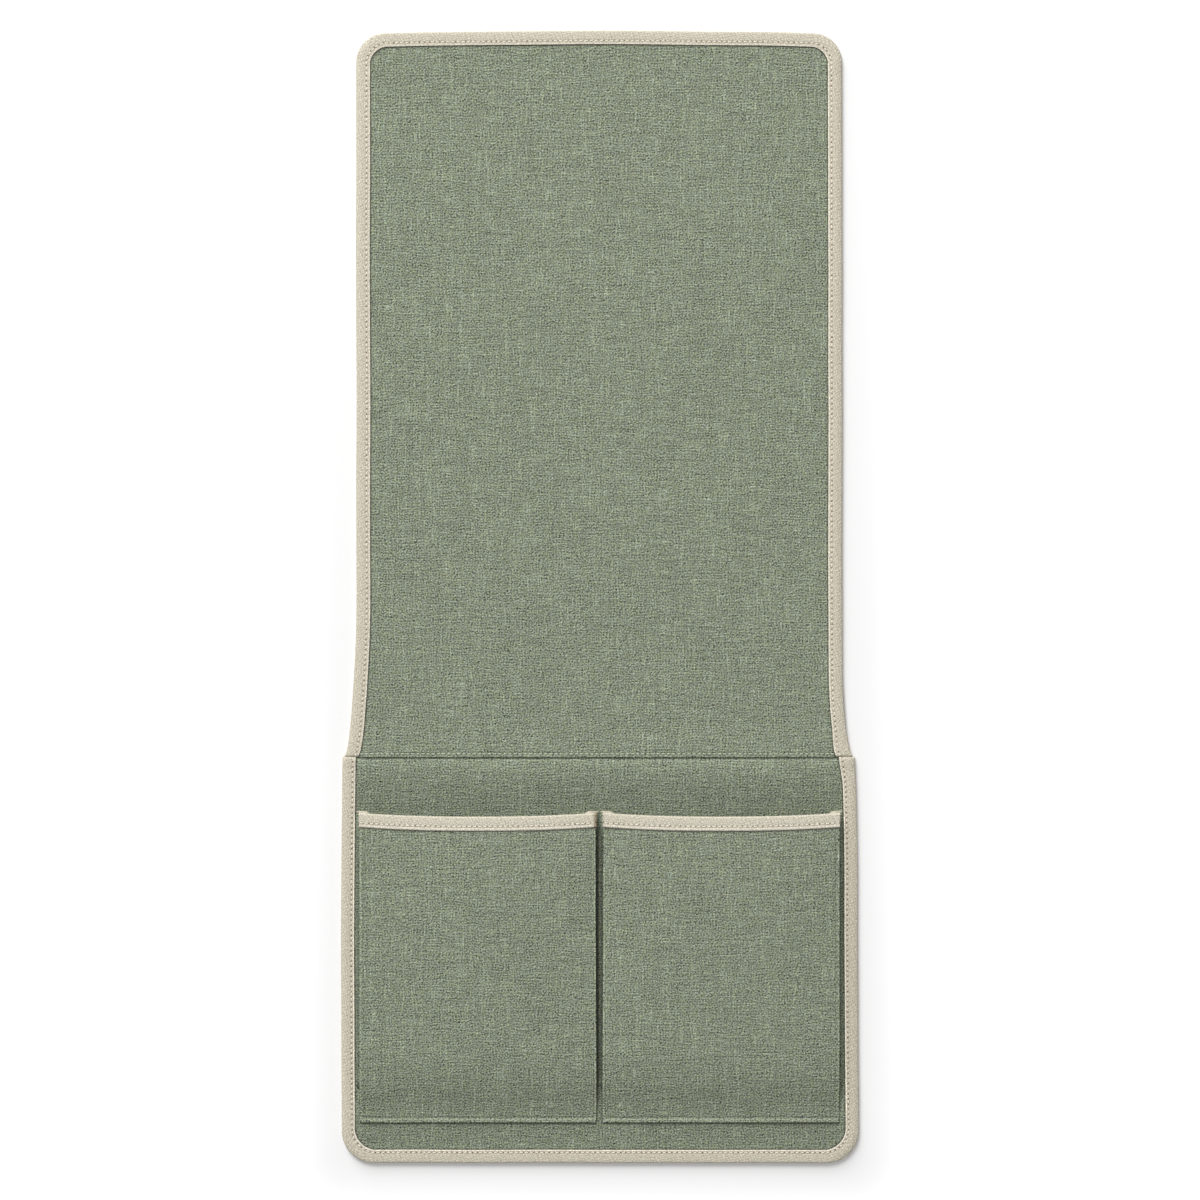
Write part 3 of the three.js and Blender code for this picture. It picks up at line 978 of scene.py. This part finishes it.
panel_tape = bind_edge("panel_edge_tape", PANEL_TAPE, panel_edge, folded_end)
panel_edge_stitches = sew("panel_edge_stitches", ECRU_THREAD, edge_stitches(panel_edge))

for piece in (
    drape_face, drape_felt, drape_back, drape_tape, drape_edge_stitches, seam_stitches,
    panel_face, panel_felt, panel_back, panel_tape, panel_edge_stitches,
):
    across_seam(piece)

# Flat sizes of the cuts before their corners are cut away, and areas in square metres
HEM_TURNING = 8.0
FACE_CUT_BACK = FACE_INSET - LAYER_INSET
drape_cut = (2 * (DRAPE_SEAM_X - LAYER_INSET), END_Y - SEAM_Y - LAYER_INSET)
panel_cut = (2 * (PANEL_SIDE_X - LAYER_INSET), SEAM_Y - BOTTOM_Y - LAYER_INSET)
drape_face_cut = (drape_cut[0] - 2 * FACE_CUT_BACK, drape_cut[1] - FACE_CUT_BACK + HEM_TURNING)
panel_face_cut = (panel_cut[0] - 2 * FACE_CUT_BACK, panel_cut[1] - FACE_CUT_BACK)
drape_area = 0.1342
panel_area = 0.0794
panel_face_area = 0.0787
tape_width = EDGE_SECTION.length
declare(drape_back, "drape_backing", "backing", *drape_cut, "laid", [floor], drape_area)
declare(drape_felt, "drape_interlining", "felt", *drape_cut, "laid", [drape_back], drape_area)
declare(drape_face, "drape_face_fabric", "linen", *drape_face_cut, "laid", [drape_felt], drape_area)
declare(panel_back, "panel_backing", "backing", *panel_cut, "laid", [floor], panel_area)
declare(panel_felt, "panel_interlining", "felt", *panel_cut, "laid", [panel_back], panel_area)
declare(panel_face, "panel_face_fabric", "linen", *panel_face_cut, "laid", [panel_felt], panel_face_area)
declare(drape_tape, "drape_edge_binding", "tape", tape_width, drape_edge.length, "folded", [drape_face])
declare(panel_tape, "panel_edge_binding", "tape", tape_width, panel_edge.length, "folded", [panel_face])

# Pockets. The mouth tape's section is given as the edge tape's is, with heights from the
# underside of the pocket front.
MOUTH_FRONT = [
    (MOUTH_TAPE_WIDTH, 1.1), (8.6, 1.24), (7.7, 1.3), (7.0, 1.24), (MOUTH_STITCH_INSET, 1.12),
    (5.5, 1.26), (4.4, 1.36), (2.6, 1.38),
]
MOUTH_BACK = [(3, -0.5), (5.6, -0.5), (MOUTH_TAPE_WIDTH, -0.5)]
MOUTH_SECTION = Section(MOUTH_FRONT, roll((0.95, 0.4), 0.95, 0.92), MOUTH_BACK)
MOUTH_STEPS = 22
MOUTH_PITCH = whole_pitch(POCKET_WIDTH)
MOUTH_WORN = (MOUTH_SECTION.roll_start, MOUTH_SECTION.roll_end)
PLEAT_WORN = (8.0, 11.0)
MOUTH_TAPE = ecru_tape(
    "ecru_tape_mouth", dye(216, 210, 192), MOUTH_PITCH, MOUTH_WORN, 0.15, 0.1, selvedge_width=1.5
)
PLEAT_TAPE = ecru_tape("ecru_tape_pleat", dye(200, 192, 174), MOUTH_PITCH, PLEAT_WORN, 0.2, 0.1)

# Fine steps where a pocket front is hemmed and stitched
FRONT_SIDE = (0, 0.2, 0.5, 0.9, 1.3, 1.7, 2.1, 2.6, 3.4, 5.0)
FRONT_COLUMNS = mirrored_marks(0, POCKET_WIDTH, FRONT_SIDE, 8, 44)
FRONT_FOOT = (0, 0.2, 0.5, 0.9, 1.3, 1.7, 2.1, 2.5, 2.9, 3.3, 3.7, 4.2)
FRONT_ROWS = rows(0, *FRONT_FOOT, (6, 50, 2.8), (51.5, 190, 3.2), 190.5)
INNER_DRAWN_IN = 0.5
OUTER_DRAWN_IN = 0.45


def pocket_ends(side):
    """The left and right edges of a pocket."""
    return sorted((side * POCKET_INNER_X, side * POCKET_OUTER_X))


def drawn_in(y, from_inner):
    """The pockets' inner edges come a little nearer to each other towards the foot, and
    their outer edges stand back from the edge tape."""
    near_foot = fade(y, POCKET_FOOT_Y, FRAME_FOOT_Y + 145)
    inner = INNER_DRAWN_IN * near_foot * fade(from_inner, 0, 6)
    return inner + OUTER_DRAWN_IN * ramp(from_inner, POCKET_WIDTH - 6, POCKET_WIDTH)


def pocket_front(name, side):
    """A pocket's front: hem, rise, crowned face and a stitched edge at each side."""
    left = pocket_ends(side)[0]

    def lay(across, up):
        from_left = at_row(FRONT_COLUMNS, across)
        from_foot = at_row(FRONT_ROWS, up)
        x = left + from_left
        mouth = mouth_y(x)
        y = POCKET_FOOT_Y + from_foot / FRONT_ROWS[-1] * (mouth - IN_TAPE - POCKET_FOOT_Y)
        x -= side * drawn_in(y, from_left if side > 0 else POCKET_WIDTH - from_left)
        near = min(from_left, POCKET_WIDTH - from_left)
        z = front_under(x, y) + POCKET_CLOTH
        z -= 0.2 * max(0, 1 - near / 0.6) ** 2 + 0.12 * max(0, 1 - from_foot / 0.3) ** 2
        z += 0.25 * fade(from_foot, 3.4, 5.0)
        side_groove = 0.6 * hump(near, SIDE_STITCH, 0.6) * ramp(from_foot, 3, 5)
        foot_groove = hump(from_foot, 3.3, 0.5)
        z -= 0.25 * max(side_groove, foot_groove)
        z += 0.1 * ripple(x, y, 30, 4.0 + side) + 0.04 * ripple(x, y, 11, 7.7)
        # Painted highlight on the front's side edges and the hem's edge, and painted shade in the side and
        # foot grooves, just above the hem and on the edges' rims
        painted_edge_highlight = max(1.4 * fade(near, 0.9, 1.5), fade(from_foot, 1.9, 2.6))
        openness = 1 + 0.18 * painted_edge_highlight - 0.45 * side_groove - 0.36 * foot_groove
        openness -= 0.08 * hump(from_foot, 6, 2.5) + 0.3 * fade(near, 0, 0.35)
        return (x, y, z), (x, y), (min(mouth - MOUTH_TAPE_WIDTH - y, FAR_FROM_TAPE), openness)

    columns = len(FRONT_COLUMNS) - 1
    row_count = len(FRONT_ROWS) - 1
    return cut_and_lay(f"{name}_pocket_cloth", LINEN, columns, row_count, lay, POCKET_CLOTH * 0.9)


def mouth_tape(name, side):
    """Tape folded over the mouth's edge, with brown stitches across its inner end, more of
    them on the left pocket."""
    inner_end = POCKET_INNER_X - MOUTH_INNER_OVERHANG
    outer_end = POCKET_OUTER_X + MOUTH_OUTER_OVERHANG
    left, right = sorted((side * inner_end, side * outer_end))
    middle_steps = 2 * round((right - left) / STITCH_PITCH)
    columns = mirrored_marks(left, right, (0, 0.35, 0.7, 1.05, 1.4, 2.0), 3, middle_steps)
    first_hole = pocket_ends(side)[0]

    def lay(up, across):
        x = at_row(columns, up)
        mark = across * MOUTH_SECTION.length
        inset, height = MOUTH_SECTION.at(mark)
        if height > MOUTH_FRONT[-1][1] / 2:
            height -= pulled_down(inset - MOUTH_STITCH_INSET, x - first_hole, MOUTH_PITCH)
            height += 0.04 * ripple(x, mouth_y(x), 8, 6.6)
        end_mark = (0.55 - 0.25 * side) * hump(abs(x) - inner_end, 0.6, 0.8 - 0.3 * side)
        place = (x, mouth_y(x) - inset, front_under(x, MOUTH_Y - inset) + height)
        return place, (x - first_hole, mark), (inset - MOUTH_STITCH_INSET, 1 - end_mark)

    return cut_and_lay(f"{name}_mouth_tape", MOUTH_TAPE, len(columns) - 1, MOUTH_STEPS, lay, TAPE_THICKNESS)


def on_mouth_tape(x, y):
    """A point on the mouth tape's stitch line."""
    z = front_under(x, MOUTH_Y - MOUTH_STITCH_INSET) + MOUTH_STITCH_RISE
    return (x, mouth_y(x) - MOUTH_STITCH_INSET, z)


def pleat_section(side_x, outward, y, spread):
    """The pleat's cloth seen from the mouth, from its open upper end round the fold and
    down to the flange on the panel. spread moves it out from its own middle."""
    upper = front_under(side_x, y) - PLEAT_UNDER_FRONT
    half = max((upper - PLEAT_LOWER_LEAF) / 2, PLEAT_LEAST_HALF)
    middle = PLEAT_LOWER_LEAF + half
    reach = half + spread
    centre_x = side_x - outward * (PLEAT_DEPTH - PLEAT_TAPE_OUT - half)
    angles = np.linspace(math.pi / 2, math.pi * 1.5, 9)
    turn = [(centre_x + outward * reach * math.cos(a), middle + reach * math.sin(a)) for a in angles]
    top = [(side_x - outward * 0.3, middle + reach), (side_x - outward * 3, middle + reach)]
    bottom = [
        (side_x - outward * 3, middle - reach),
        (side_x - outward * 0.6, middle - reach),
        (side_x + outward * 0.5, PLEAT_FLANGE_Z - spread * 0.4),
        (side_x + outward * PLEAT_FLANGE, PLEAT_FLANGE_Z - 0.08 - spread * 0.4),
    ]
    return np.array(top + turn + bottom)


# How far round the fold each point of the section is, at the mouth
PLEAT_MARKS = lengths_along(pleat_section(0, 1, MOUTH_Y, PLEAT_CLOTH / 2)).tolist()
PLEAT_STEPS = len(PLEAT_MARKS) - 1
PLEAT_FOOT_Y = POCKET_FOOT_Y + POCKET_HEM + POCKET_RISE * 0.42


def shoulder(side_x, x):
    """How much lower the pleat's top edge is near its fold."""
    return PLEAT_SHOULDER * ramp(abs(x - side_x), PLEAT_DEPTH - 2.8, PLEAT_DEPTH)


def pleat_cloth(name, side_x, outward, pleat_painted_shade):
    """The pleat, from the rise of the front up to the mouth, with painted shade down inside it."""

    def lay(up, across):
        y = PLEAT_FOOT_Y + up * (PLEAT_TOP_Y - IN_TAPE - PLEAT_FOOT_Y)
        number = round(across * PLEAT_STEPS)
        x, z = pleat_section(side_x, outward, min(y, MOUTH_Y), PLEAT_CLOTH / 2)[number]
        behind = plateau(y, FRAME_FOOT_Y + 7, FRAME_FOOT_Y + 29, MOUTH_Y - 18.6, MOUTH_Y - 6.6)
        behind *= fade(z, HEM_UNDER, 8)
        y -= shoulder(side_x, x) * ramp(up, 0.9, 1)
        return (x, y, z), (PLEAT_MARKS[number], y), (FAR_FROM_TAPE, 1 - pleat_painted_shade * behind)

    return cut_and_lay(name, LINEN, 60, PLEAT_STEPS, lay, PLEAT_CLOTH * 0.9, turned=outward < 0)


PLEAT_TAPE_FRONT = [(inset, PLEAT_TAPE_OUT * out) for inset, out in ((8, 1), (4, 1), (0.8, 1), (0.25, 0.7))]
PLEAT_TAPE_BACK = [(inset, -out) for inset, out in reversed(PLEAT_TAPE_FRONT)]
PLEAT_TAPE_SECTION = Section(PLEAT_TAPE_FRONT, [(0, 0)], PLEAT_TAPE_BACK)


def pleat_tape(name, side_x, outward):
    """Tape folded over the top edge of a pleat."""

    def lay(up, across):
        mark = up * PLEAT_TAPE_SECTION.length
        inset, spread = PLEAT_TAPE_SECTION.at(mark)
        number = round(across * PLEAT_STEPS)
        x, z = pleat_section(side_x, outward, MOUTH_Y, spread)[number]
        y = PLEAT_TOP_Y - inset - shoulder(side_x, x)
        return (x, y, z), (PLEAT_MARKS[number], mark), OPEN

    return cut_and_lay(name, PLEAT_TAPE, 16, PLEAT_STEPS, lay, TAPE_THICKNESS * 0.9, turned=outward < 0)


def on_hem(x, y):
    """A point on the thicker hem at a pocket's foot."""
    return (x, y, front_top(x, y)[2] + HEM_STITCH_RISE)


def sew_pocket(name, side):
    """The stitches on a pocket: along its mouth, along its foot and up both sides."""
    low, high = pocket_ends(side)
    mouth_row = line_stitches((low, 0), (high, 0), on_mouth_tape)
    foot_y = POCKET_FOOT_Y + FOOT_STITCH
    foot_row = line_stitches((low + 1.6, foot_y), (high - 1.6, foot_y), on_hem)
    top_y = MOUTH_Y - MOUTH_TAPE_WIDTH - 1
    side_rows = []
    for x in (low + SIDE_STITCH + 0.1, high - SIDE_STITCH - 0.1):
        side_rows += line_stitches((x, POCKET_FOOT_Y + POCKET_HEM), (x, top_y), front_top)
    return [
        sew(f"{name}_mouth_stitches", ECRU_THREAD, mouth_row),
        sew(f"{name}_foot_stitches", SAGE_THREAD, foot_row, length=2.6, width=0.78),
        sew(f"{name}_side_stitches", SAGE_THREAD, side_rows, width=0.5, height=0.42),
    ]


for name, side in (("left", -1), ("right", 1)):
    body = f"{name}_pocket"
    front = pocket_front(name, side)
    tape = mouth_tape(name, side)
    for piece in (front, tape, *sew_pocket(name, side)):
        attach(piece, body)
    pleats = []
    # Painted shade down inside each pleat: most for the inner pleats, and among the outer pleats only on the
    # left pocket
    for where, side_x, outward, pleat_painted_shade in (
        ("outer", side * POCKET_OUTER_X, side, 0.15 - 0.15 * side),
        ("inner", side * POCKET_INNER_X, -side, 0.5),
    ):
        cloth = pleat_cloth(f"{name}_{where}_pleat_cloth", side_x, outward, pleat_painted_shade)
        bound = pleat_tape(f"{name}_{where}_pleat_tape", side_x, outward)
        open_with(cloth)
        open_with(bound)
        pleat = f"{name}_pocket_{where}_pleat"
        cloth_cut = (PLEAT_MARKS[-1], PLEAT_TOP_Y - PLEAT_FOOT_Y)
        binding_cut = (PLEAT_TAPE_SECTION.length, PLEAT_MARKS[-1])
        declare(cloth, pleat, "linen", *cloth_cut, "folded", [panel_face])
        declare(bound, f"{pleat}_binding", "tape", *binding_cut, "folded", [cloth])
        pleats.append(cloth)
    front_length = MOUTH_Y - POCKET_FOOT_Y + MOUTH_TURNING
    tape_length = POCKET_WIDTH + MOUTH_INNER_OVERHANG + MOUTH_OUTER_OVERHANG
    declare(front, f"{name}_pocket_front", "linen", POCKET_WIDTH, front_length, "laid", pleats)
    tape_cut = (MOUTH_SECTION.length, tape_length)
    declare(tape, f"{name}_pocket_mouth_binding", "tape", *tape_cut, "folded", [front])

# Light
world = bpy.data.worlds.new("studio")
bpy.context.scene.world = world
world.use_nodes = True
studio = world.node_tree
soft_white = studio.nodes["Background"]
soft_white.inputs["Color"].default_value = (1, 1, 1, 1)
soft_white.inputs["Strength"].default_value = 0.36
seen_white = add_node(studio, "ShaderNodeBackground", {}, {"Color": (1, 1, 1, 1), "Strength": 1.0})
sky = for_camera(studio, soft_white, seen_white)
studio.links.new(sky.outputs[0], studio.nodes["World Output"].inputs["Surface"])


def softbox(name, place, size, power):
    lamp = bpy.data.lights.new(name, "AREA")
    lamp.shape = "SQUARE"
    lamp.size = size
    lamp.energy = power
    holder = bpy.data.objects.new(name, lamp)
    bpy.context.scene.collection.objects.link(holder)
    holder.location = place
    holder.rotation_euler = (-Vector(place)).to_track_quat("-Z", "Y").to_euler()


softbox("high_window", (-2.1, 4.5, 4.9), 3.2, 320)
softbox("low_window", (-1.7, 4.75, 1.7), 2.2, 145)

# Camera, straight above, with the photograph's frame
CAMERA_X = 0.3
CAMERA_Y = -1.9
CAMERA_HEIGHT = 3.0
FRAME_WIDTH = 0.7428
SENSOR = 36.0
lens = bpy.data.cameras.new("camera")
camera = bpy.data.objects.new("camera", lens)
bpy.context.scene.collection.objects.link(camera)
camera.location = (CAMERA_X * MM, CAMERA_Y * MM, CAMERA_HEIGHT)
lens.sensor_width = SENSOR
lens.lens = SENSOR * (CAMERA_HEIGHT - TAPE_TOP * MM) / FRAME_WIDTH
bpy.context.scene.camera = camera
bpy.context.scene.view_settings.view_transform = "Standard"
